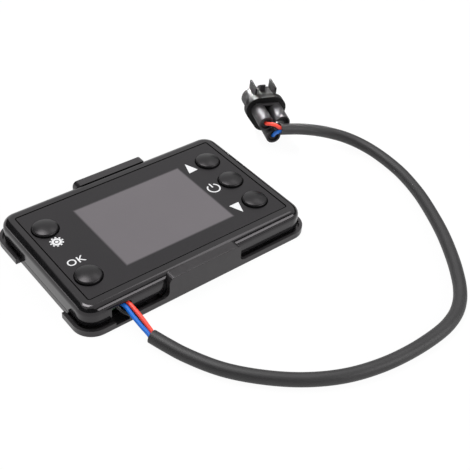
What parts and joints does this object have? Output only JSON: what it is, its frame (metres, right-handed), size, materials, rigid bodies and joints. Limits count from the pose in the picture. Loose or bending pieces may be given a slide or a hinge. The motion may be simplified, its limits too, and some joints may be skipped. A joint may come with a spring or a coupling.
{
  "type": "control panel",
  "caption": "Flat glossy black wired control panel of a diesel air heater: colour screen, round keys, clip-on mounting bracket, sleeved lead with a sealed three-way connector.",
  "frame": {"origin": "on the surface that the mounting bracket rests on, under the middle of the case", "axes": "+X along the long side of the face, from the two keys towards the three keys; +Y towards the top edge of the face; +Z out of the face, up as it lies"},
  "size_m": [0.1959, 0.1801, 0.0245],
  "materials": {
    "bracket_black": "satin moulded plastic, lightly reflecting",
    "case_black": "high-gloss moulded plastic, clear reflections on the rounded edge",
    "overlay_print": "satin printed sheet, very dark grey, icons printed white",
    "key_black": "satin black plastic with a soft highlight",
    "foam_black": "matt closed-cell foam",
    "screen_grey": "unlit grey display behind the tinted window, no glare",
    "white_plastic": "matt white nylon",
    "flex_amber": "smooth amber film",
    "board_green": "green solder mask, slight sheen",
    "chip_black": "matt moulded package",
    "capacitor_amber": "matt moulded block",
    "switch_body": "matt black switch body",
    "switch_stem": "smooth black plunger",
    "screw_steel": "zinc-plated steel",
    "connector_black": "satin glass-filled nylon, pale sheen from above",
    "sleeve_black": "satin extruded sleeve with a soft lengthwise highlight",
    "seal_rubber": "matt black silicone",
    "contact_brass": "bright plated brass",
    "wire_red": "smooth red insulation, slight sheen",
    "wire_blue": "smooth blue insulation, slight sheen",
    "wire_black": "smooth black insulation, slight sheen"
  },
  "bodies": {
    "panel": {"mounting_bracket": "bracket_black", "rear_shell": "case_black", "front_shell": "case_black", "face_overlay": "overlay_print", "switch_body_menu": "switch_body", "switch_body_ok": "switch_body", "switch_body_up": "switch_body", "switch_body_power": "switch_body", "switch_body_down": "switch_body", "screen_gasket": "foam_black", "screen_glass": "screen_grey", "backlight": "white_plastic", "screen_flex": "flex_amber", "flex_socket": "white_plastic", "circuit_board": "board_green", "processor": "chip_black", "memory_chip": "chip_black", "clock_crystal": "screw_steel", "voltage_regulator": "chip_black", "protection_diode": "chip_black", "input_capacitor": "capacitor_amber", "output_capacitor": "capacitor_amber", "board_header": "white_plastic", "board_plug": "white_plastic", "case_screw_left_top": "screw_steel", "case_screw_right_top": "screw_steel", "case_screw_left_bottom": "screw_steel", "case_screw_right_bottom": "screw_steel", "board_screw_left_top": "screw_steel", "board_screw_right_top": "screw_steel", "board_screw_left_bottom": "screw_steel", "board_screw_right_bottom": "screw_steel", "connector_housing": "connector_black", "wire_seal_red": "seal_rubber", "contact_pin_red": "contact_brass", "wire_seal_blue": "seal_rubber", "contact_pin_blue": "contact_brass", "wire_seal_black": "seal_rubber", "contact_pin_black": "contact_brass", "cable_sleeve": "sleeve_black", "lead_red": "wire_red", "tail_red": "wire_red", "lead_blue": "wire_blue", "tail_blue": "wire_blue", "lead_black": "wire_black", "tail_black": "wire_black"},
    "menu_key": {"key_menu": "key_black", "switch_stem_menu": "switch_stem"},
    "ok_key": {"key_ok": "key_black", "switch_stem_ok": "switch_stem"},
    "up_key": {"key_up": "key_black", "switch_stem_up": "switch_stem"},
    "power_key": {"key_power": "key_black", "switch_stem_power": "switch_stem"},
    "down_key": {"key_down": "key_black", "switch_stem_down": "switch_stem"}
  },
  "joints": [
    {"name": "menu_press", "type": "slide", "parent": "panel", "child": "menu_key", "axis": [0, 0, -1], "range_m": [0, 0.0005], "stiffness_N_per_m": 2000, "springref_m": -0.0002},
    {"name": "ok_press", "type": "slide", "parent": "panel", "child": "ok_key", "axis": [0, 0, -1], "range_m": [0, 0.0005], "stiffness_N_per_m": 2000, "springref_m": -0.0002},
    {"name": "up_press", "type": "slide", "parent": "panel", "child": "up_key", "axis": [0, 0, -1], "range_m": [0, 0.0005], "stiffness_N_per_m": 2000, "springref_m": -0.0002},
    {"name": "power_press", "type": "slide", "parent": "panel", "child": "power_key", "axis": [0, 0, -1], "range_m": [0, 0.0005], "stiffness_N_per_m": 2000, "springref_m": -0.0002},
    {"name": "down_press", "type": "slide", "parent": "panel", "child": "down_key", "axis": [0, 0, -1], "range_m": [0, 0.0005], "stiffness_N_per_m": 2000, "springref_m": -0.0002}
  ]
}
